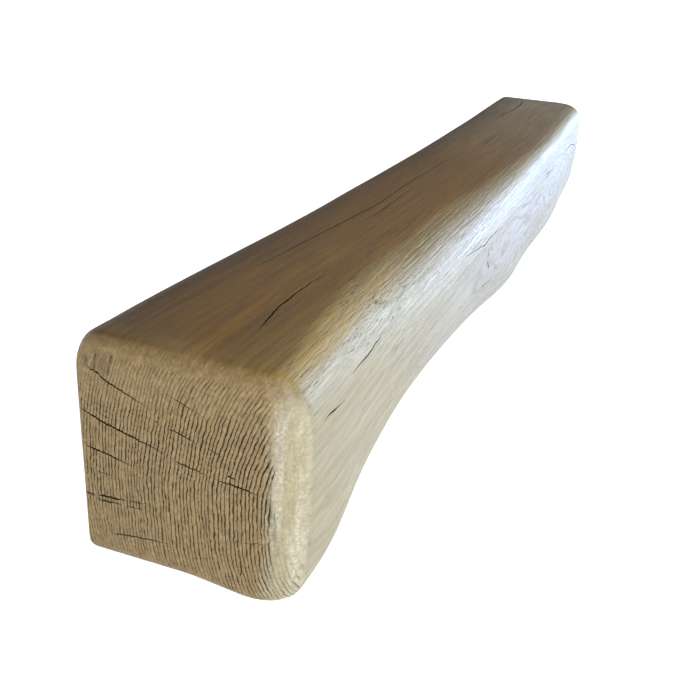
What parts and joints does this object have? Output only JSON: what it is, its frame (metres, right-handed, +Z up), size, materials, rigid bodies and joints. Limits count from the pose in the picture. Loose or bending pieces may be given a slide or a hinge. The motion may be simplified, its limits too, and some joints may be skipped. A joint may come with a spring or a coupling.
{
  "type": "oak beam",
  "caption": "Short oak mantel beam in one piece, flat sawn back, softly rounded front, edges and ends, and a shallow off-centre arch along its underside.",
  "frame": {"origin": "centre of the beam's footprint (bounding box), level with the planed bearings it lies on", "axes": "+X along the beam to its right end seen from the front, -Y out of the rounded front face, +Y out of the flat sawn back towards the wall, +Z up"},
  "size_m": [1.253, 0.1638, 0.1618],
  "materials": {
    "oak": "brushed open-grain oak with a satin wax, browner on top and paler on the front"
  },
  "bodies": {
    "root": {"beam": "oak"}
  },
  "joints": []
}
